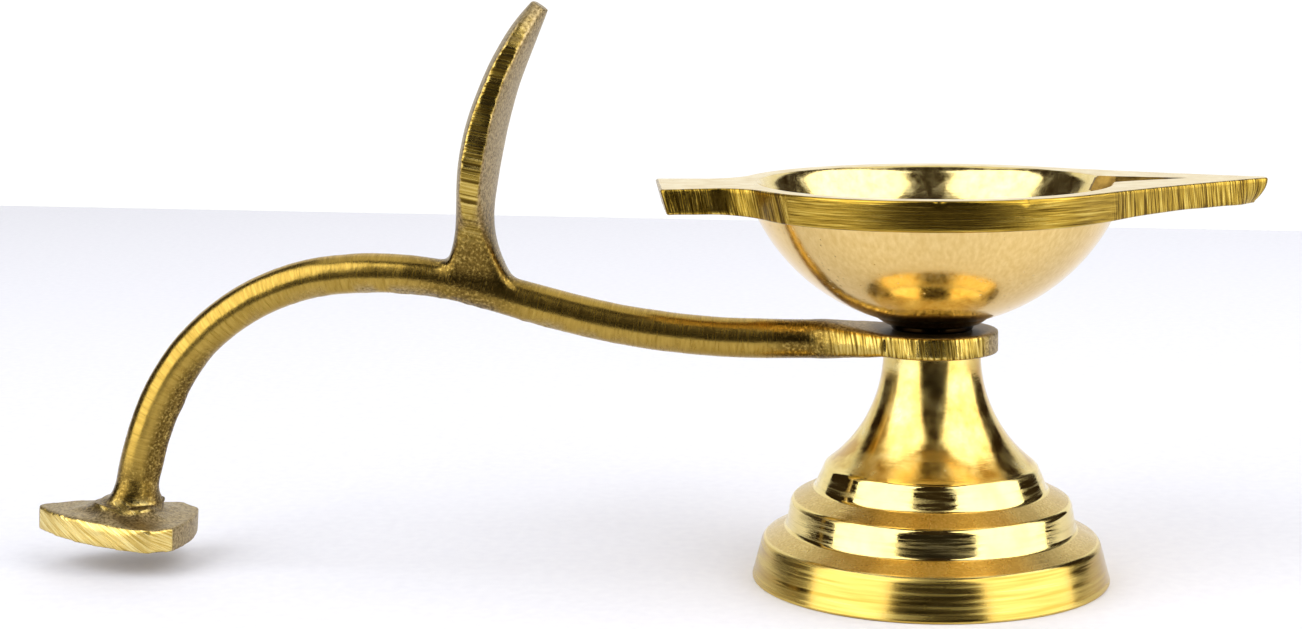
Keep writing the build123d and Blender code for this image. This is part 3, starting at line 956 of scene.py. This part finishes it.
bowl = make_bowl()
outwards(bowl)
cut(bowl, make_groove_cutter())
shade(bowl, 38)
for finish in (polished_cup_brass(), land_brass(), edge_brass(), cup_outside_brass(), groove_brass()):
    bowl.data.materials.append(finish)
for face in bowl.data.polygons:
    x, y, z = face.center / MM
    taper = groove_half_width * (groove_reach + 0.5 - x) / (groove_reach - inner_radius + 3) + 0.5
    if x > inner_radius - 3 and abs(y) < taper and rim_top - groove_depth - 0.05 < z < rim_top - 0.02:
        face.material_index = 4
bowl.data.transform(Matrix.Rotation(bowl_turn, 4, "Z"))
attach(bowl, "bowl")
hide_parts("bowl")

handle = make_handle()
handle.data.materials.append(cast_brass())
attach(handle, "handle")
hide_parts("handle")

# ---------------------------------------------------------------- camera, floor and light

# The camera stands 282 mm in front of the lamp's axis, swung 5 degrees from square to the handle
swing = math.radians(5.0)
camera_side, camera_back, camera_height = -34.2, 282.0, 76.2
camera_pitch, camera_roll = math.radians(8.735), math.radians(-0.46)
lens_mm, sensor_mm = 64.9, 36.0

camera_data = bpy.data.cameras.new("camera")
camera_data.lens = lens_mm
camera_data.sensor_width = sensor_mm
camera_data.clip_start = 0.01
camera = bpy.data.objects.new("camera", camera_data)
bpy.context.scene.collection.objects.link(camera)
square = Matrix.Translation(Vector((camera_side, -camera_back, camera_height)) * MM)
aim = Matrix.Rotation(math.pi / 2 - camera_pitch, 4, "X") @ Matrix.Rotation(camera_roll, 4, "Z")
camera.matrix_world = Matrix.Rotation(swing, 4, "Z") @ square @ aim
bpy.context.scene.camera = camera


camera_bearing = math.atan2(camera.matrix_world[1][3], camera.matrix_world[0][3])


def around(azimuth, distance, height):
    """A point seen from above at this angle from the lamp-to-camera line, positive to the right."""
    angle = math.radians(azimuth) + camera_bearing
    return Vector((distance * math.cos(angle), distance * math.sin(angle), height))


def softbox(name, azimuth, distance, height, width, tall, watts):
    """A soft light turned to the lamp; lengths in metres."""
    lamp = bpy.data.lights.new(name, "AREA")
    lamp.shape = "RECTANGLE"
    lamp.size, lamp.size_y = width, tall
    lamp.energy = watts
    holder = bpy.data.objects.new(name, lamp)
    bpy.context.scene.collection.objects.link(holder)
    holder.location = around(azimuth, distance, height)
    look = Vector((0, 0, 0.03)) - holder.location
    holder.rotation_euler = look.to_track_quat("-Z", "Y").to_euler()


softbox("softbox_left", -54, 0.76, 0.39, 0.92, 1.27, 9.7)
softbox("softbox_right", 70, 0.76, 0.39, 1.16, 1.27, 12.0)
softbox("softbox_top", 180, 0.3, 0.9, 0.9, 0.9, 2.6)


def setting_piece(name, corners, faces, finish, turn=swing):
    """A piece of the setting from corners in metres, turned about the lamp's axis."""
    mesh = bpy.data.meshes.new(name)
    mesh.from_pydata(corners, [], faces)
    mesh.materials.append(finish)
    piece = bpy.data.objects.new(name, mesh)
    bpy.context.scene.collection.objects.link(piece)
    piece.rotation_euler = (0, 0, turn)
    return piece


def camera_only(piece):
    """Seen from any side, but neither mirrored in the brass nor throwing light on it."""
    piece.visible_diffuse = piece.visible_glossy = piece.visible_transmission = piece.visible_shadow = False


# The table's far edge runs a little towards the camera on the right
one_face = [(0, 1, 2, 3)]
table_side, table_edge = 1.2, -0.1
card = paper_floor()
floor_corners = [(-table_side, table_edge, 0), (table_side, table_edge, 0)]
floor_corners += [(table_side, 0.092, 0), (-table_side, 0.688, 0)]
floor = setting_piece("floor", floor_corners, one_face, card)

backdrop_corners = [(-1.1, 1.1, -0.4), (1.1, 1.1, -0.4), (1.1, 1.1, 1.2), (-1.1, 1.1, 1.2)]
backdrop = setting_piece("backdrop", backdrop_corners, one_face, lit_backdrop())

# A black curtain behind the camera gives the walls their dark middle
curtain_folds = 12
curtain = []
for k in range(curtain_folds + 1):
    curtain += [tuple(around(-24 + 58 * k / curtain_folds, 0.85, height)) for height in (0.0, 0.3)]
curtain_faces = [(2 * k, 2 * k + 2, 2 * k + 3, 2 * k + 1) for k in range(curtain_folds)]
black_curtain = setting_piece("black_curtain", curtain, curtain_faces, curtain_cloth(), 0)
black_curtain.visible_camera = False

# The rest of the table and pale walls all round, for views from the sides and from behind
apron_corners = [(-table_side, -1.4, 0), (table_side, -1.4, 0)]
apron_corners += [(table_side, table_edge, 0), (-table_side, table_edge, 0)]
apron = setting_piece("table_front", apron_corners, one_face, card)
camera_only(apron)

room_half = 2.5
room_plan = [(x * room_half, y * room_half) for x, y in ((-1, -1), (1, -1), (1, 1), (-1, 1))]
room_corners = [(x, y, z) for z in (-room_half, room_half) for x, y in room_plan]
room_faces = [(0, 1, 2, 3), (7, 6, 5, 4)] + [(k + 4, (k + 1) % 4 + 4, (k + 1) % 4, k) for k in range(4)]
room = setting_piece("pale_room", room_corners, room_faces, pale_wall(), 0)
camera_only(room)

world = bpy.data.worlds.new("dim_room")
world.use_nodes = True
world.node_tree.nodes["Background"].inputs["Color"].default_value = colour("#30261a")
world.node_tree.nodes["Background"].inputs["Strength"].default_value = 1.0
bpy.context.scene.world = world
bpy.context.scene.view_settings.view_transform = "Standard"
